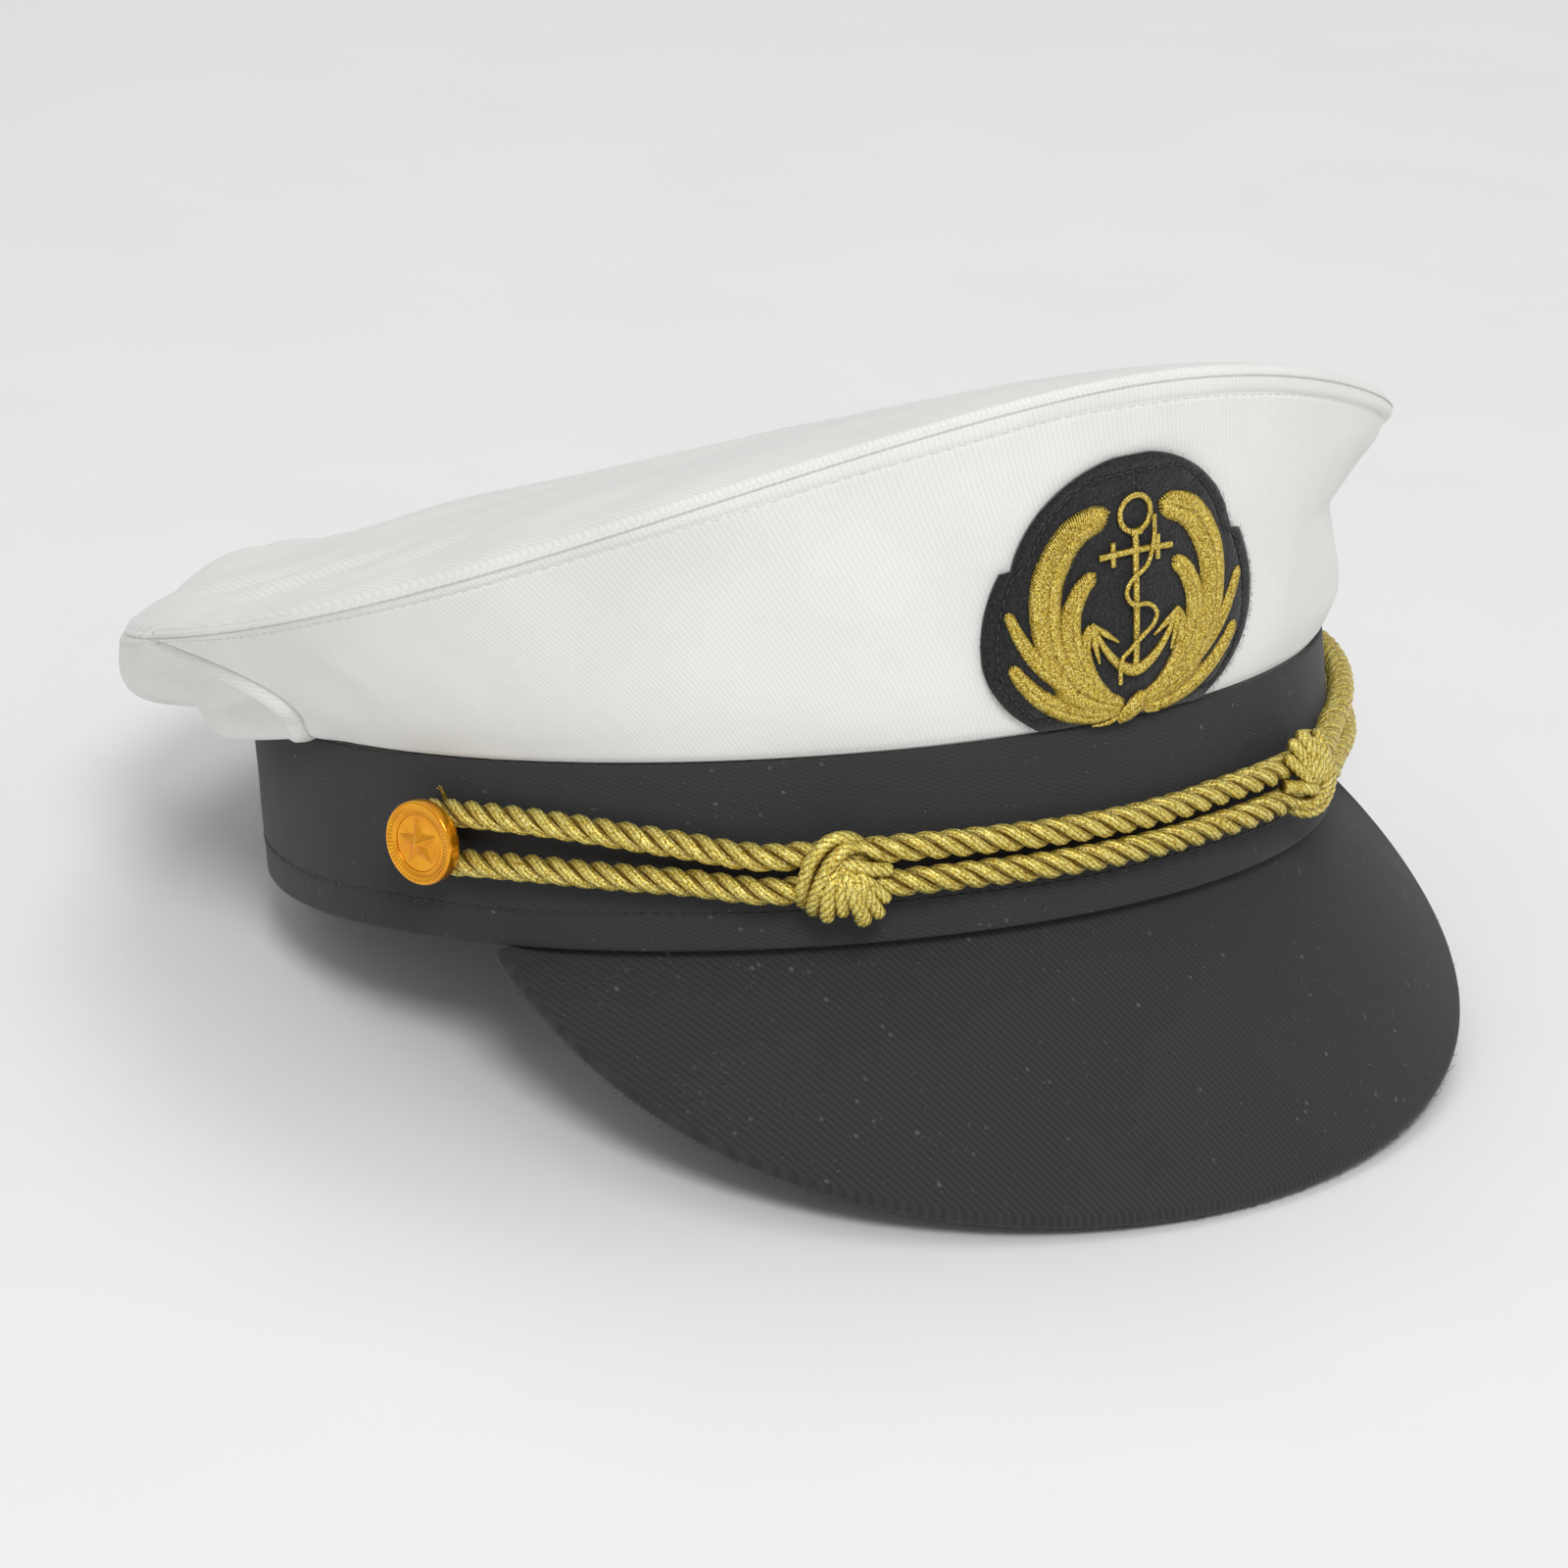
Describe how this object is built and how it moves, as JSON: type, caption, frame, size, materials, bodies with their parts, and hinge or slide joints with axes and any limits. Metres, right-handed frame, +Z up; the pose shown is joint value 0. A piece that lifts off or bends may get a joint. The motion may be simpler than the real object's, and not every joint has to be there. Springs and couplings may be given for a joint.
{
  "type": "peaked yacht cap",
  "caption": "White peaked cap with a dark round band, sloping visor, doubled gold chin cord with sliding knots, side buttons and an embroidered anchor badge.",
  "frame": {"origin": "centre of the bounding box's underside: the table under the cap, which rests on the visor's rim and on the back of the band", "axes": "+Z up from the table, -Y towards the visor, +X towards the wearer's left"},
  "size_m": [0.224, 0.2618, 0.1292],
  "materials": {
    "band_twill": "charcoal-black cotton twill with fine diagonal ribs and pale lint",
    "crown_twill": "matt white cotton twill with fine diagonal ribs",
    "stiffener_plastic": "translucent off-white moulded sheet",
    "sweatband_cloth": "black woven sweatband tape",
    "lining_cloth": "thin plain-woven white lining",
    "visor_lining": "black cotton twill, plain side",
    "black_felt": "pressed black felt with short fibres",
    "gold_thread": "glossy metallised satin-stitch thread",
    "gold_cord": "twisted metallised cord",
    "button_plastic": "orange-gold metallised plastic",
    "sewing_thread": "waxed gold sewing thread"
  },
  "bodies": {
    "root": {"band_cover": "band_twill", "band_stiffener": "stiffener_plastic", "sweatband": "sweatband_cloth", "crown_front_panel": "crown_twill", "crown_back_panel": "crown_twill", "crown_top": "crown_twill", "front_stay": "stiffener_plastic", "lining_side": "lining_cloth", "lining_top": "lining_cloth", "visor_top_cover": "band_twill", "visor_board": "stiffener_plastic", "visor_under_cover": "visor_lining", "badge_backing": "black_felt", "badge_wreath_right": "gold_thread", "badge_wreath_left": "gold_thread", "badge_anchor": "gold_thread", "badge_rope": "gold_thread", "badge_tie": "gold_thread", "chin_cord_right": "gold_cord", "chin_cord_left": "gold_cord", "button_thread_right": "sewing_thread", "button_thread_left": "sewing_thread"},
    "knot_right": {"knot_right": "gold_cord"},
    "knot_left": {"knot_left": "gold_cord"},
    "button_right": {"button_right": "button_plastic"},
    "button_left": {"button_left": "button_plastic"}
  },
  "joints": [
    {"name": "knot_right_slide", "type": "hinge", "parent": "root", "child": "knot_right", "pos_m": [0.0057, -0.00181, 0.03427], "axis": [0, 0.2056, 0.9786], "range_deg": [-3, 3]},
    {"name": "knot_left_slide", "type": "hinge", "parent": "root", "child": "knot_left", "pos_m": [-0.00222, -0.00766, 0.0355], "axis": [0, 0.2056, 0.9786], "range_deg": [-3, 3]},
    {"name": "button_right_turn", "type": "hinge", "parent": "root", "child": "button_right", "pos_m": [-0.08816, -0.02243, 0.04381], "axis": [-0.9541, -0.2932, 0.0616], "range_deg": [-10, 10]},
    {"name": "button_left_turn", "type": "hinge", "parent": "root", "child": "button_left", "pos_m": [0.09114, -0.011, 0.04141], "axis": [0.9813, -0.1882, 0.0396], "range_deg": [-10, 10]}
  ]
}
